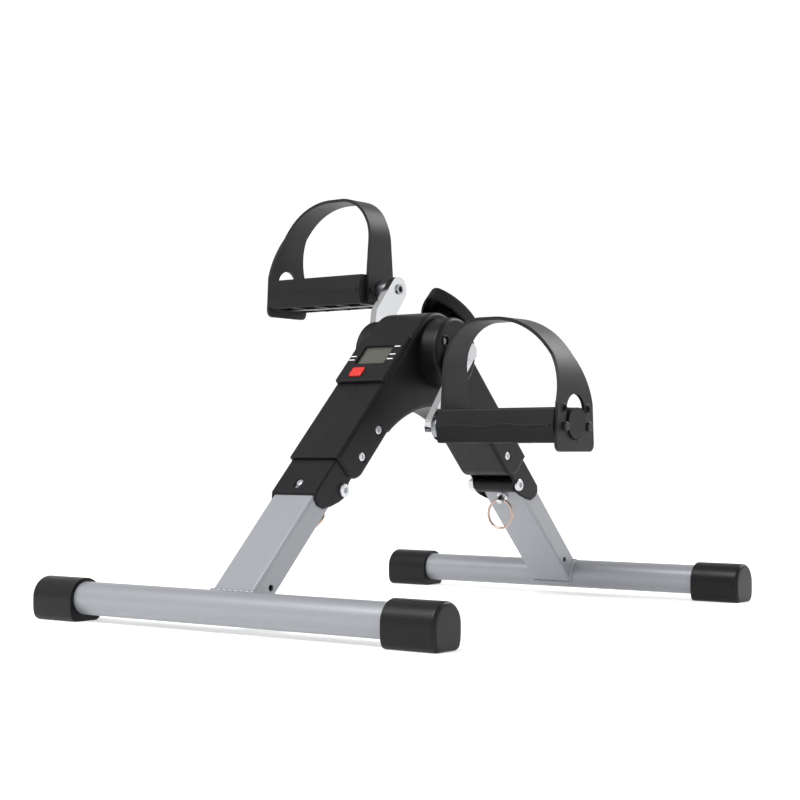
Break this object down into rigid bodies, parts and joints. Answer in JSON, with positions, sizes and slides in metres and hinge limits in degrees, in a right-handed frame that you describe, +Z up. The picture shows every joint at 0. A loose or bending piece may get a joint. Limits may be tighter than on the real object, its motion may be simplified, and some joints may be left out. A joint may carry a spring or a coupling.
{
  "type": "pedal exerciser",
  "caption": "Folding under-desk pedal exerciser: inverted-V plastic housing, two hinged steel legs on cross bars, strapped pedals, tension knob and small display.",
  "frame": {"origin": "on the floor, midway between the two foot bars and between their ends", "axes": "+X along the foot bars, -Y towards the user (display side), +Z up"},
  "size_m": [0.384, 0.4806, 0.352],
  "materials": {
    "housing_plastic": "satin moulded",
    "knob_plastic": "satin moulded",
    "black_nylon": "moulded",
    "pedal_plastic": "satin moulded",
    "strap_rubber": "satin",
    "cap_rubber": "satin",
    "grey_paint": "powder coat",
    "black_paint": "powder coat",
    "chrome": "polished",
    "plated_steel": "zinc plated",
    "plain_steel": "turned",
    "copper_wire": "drawn wire",
    "red_plastic": "gloss",
    "lcd_glass": "satin",
    "circuit_board": "solder mask",
    "battery_jacket": "printed film",
    "felt": "felt"
  },
  "bodies": {
    "frame": {"right_shell": "housing_plastic", "left_shell": "housing_plastic", "right_hub_cover": "housing_plastic", "left_hub_cover": "housing_plastic", "hub_cover_screws": "plated_steel", "housing_screws": "plated_steel", "display_bezel": "housing_plastic", "lcd_panel": "lcd_glass", "display_board": "circuit_board", "button_switch": "black_nylon", "battery": "battery_jacket", "speed_sensor": "black_nylon", "screw_collar": "black_nylon", "axle_bushes": "black_nylon", "front_bracket": "black_paint", "front_pivot_bolt": "plated_steel", "front_pivot_nut": "plated_steel", "rear_bracket": "black_paint", "rear_pivot_bolt": "plated_steel", "rear_pivot_nut": "plated_steel"},
    "reset_button": {"reset_button": "red_plastic"},
    "crank_set": {"crank_axle": "plain_steel", "brake_drum": "plain_steel", "trigger_magnet": "plain_steel", "right_crank": "chrome", "left_crank": "chrome", "crank_spacers": "plain_steel", "crank_bolts": "plated_steel", "right_pedal_axle": "plain_steel", "left_pedal_axle": "plain_steel"},
    "right_pedal": {"right_pedal_body": "pedal_plastic", "right_pedal_bushes": "black_nylon", "right_pedal_strap": "strap_rubber", "right_pedal_pegs": "black_nylon"},
    "left_pedal": {"left_pedal_body": "pedal_plastic", "left_pedal_bushes": "black_nylon", "left_pedal_strap": "strap_rubber", "left_pedal_pegs": "black_nylon"},
    "knob": {"tension_knob": "knob_plastic", "tension_screw": "plated_steel"},
    "brake_shoe": {"brake_shoe": "black_nylon", "brake_lining": "felt"},
    "front_leg": {"front_leg_tube": "grey_paint", "front_hinge_sleeve": "black_paint", "front_foot_tube": "grey_paint", "front_foot_caps": "cap_rubber"},
    "front_pin": {"front_lock_pin": "plated_steel"},
    "front_ring": {"front_pin_ring": "copper_wire"},
    "rear_leg": {"rear_leg_tube": "grey_paint", "rear_hinge_sleeve": "black_paint", "rear_foot_tube": "grey_paint", "rear_foot_caps": "cap_rubber"},
    "rear_pin": {"rear_lock_pin": "plated_steel"},
    "rear_ring": {"rear_pin_ring": "copper_wire"}
  },
  "joints": [
    {"name": "crank_spin", "type": "hinge", "parent": "frame", "child": "crank_set", "pos_m": [0, 0, 0.2095], "axis": [1, 0, 0], "continuous": true},
    {"name": "right_pedal_spin", "type": "hinge", "parent": "crank_set", "child": "right_pedal", "pos_m": [0, -0.05078, 0.14898], "axis": [1, 0, 0], "continuous": true},
    {"name": "left_pedal_spin", "type": "hinge", "parent": "crank_set", "child": "left_pedal", "pos_m": [0, 0.05078, 0.27002], "axis": [1, 0, 0], "continuous": true},
    {"name": "front_leg_fold", "type": "hinge", "parent": "frame", "child": "front_leg", "pos_m": [0, -0.12163, 0.10037], "axis": [1, 0, 0], "range_deg": [0, 90]},
    {"name": "rear_leg_fold", "type": "hinge", "parent": "frame", "child": "rear_leg", "pos_m": [0, 0.12163, 0.10037], "axis": [-1, 0, 0], "range_deg": [0, 90]},
    {"name": "front_pin_pull", "type": "slide", "parent": "front_leg", "child": "front_pin", "axis": [0, 0.7071, -0.7071], "range_m": [0, 0.02]},
    {"name": "rear_pin_pull", "type": "slide", "parent": "rear_leg", "child": "rear_pin", "axis": [0, -0.7071, -0.7071], "range_m": [0, 0.02]},
    {"name": "front_ring_swing", "type": "hinge", "parent": "front_pin", "child": "front_ring", "pos_m": [0, -0.12679, 0.08715], "axis": [1, 0, 0], "range_deg": [0, 95]},
    {"name": "rear_ring_swing", "type": "hinge", "parent": "rear_pin", "child": "rear_ring", "pos_m": [0, 0.12679, 0.08715], "axis": [-1, 0, 0], "range_deg": [-20, 50]},
    {"name": "knob_turn", "type": "hinge", "parent": "frame", "child": "knob", "pos_m": [0, 0.02471, 0.22629], "axis": [0, 0.7071, 0.7071], "range_deg": [-270, 0]},
    {"name": "brake_shoe_slide", "type": "slide", "parent": "frame", "child": "brake_shoe", "axis": [0, -0.7071, -0.7071], "range_m": [0, 0.00094]},
    {"name": "reset_press", "type": "slide", "parent": "frame", "child": "reset_button", "axis": [0, 0.7071, -0.7071], "range_m": [0, 0.001], "stiffness_N_per_m": 500, "springref_m": -0.0005}
  ],
  "couplings": [
    {"joint": "brake_shoe_slide", "follows": "knob_turn", "m_per_rad": -0.00019894}
  ]
}
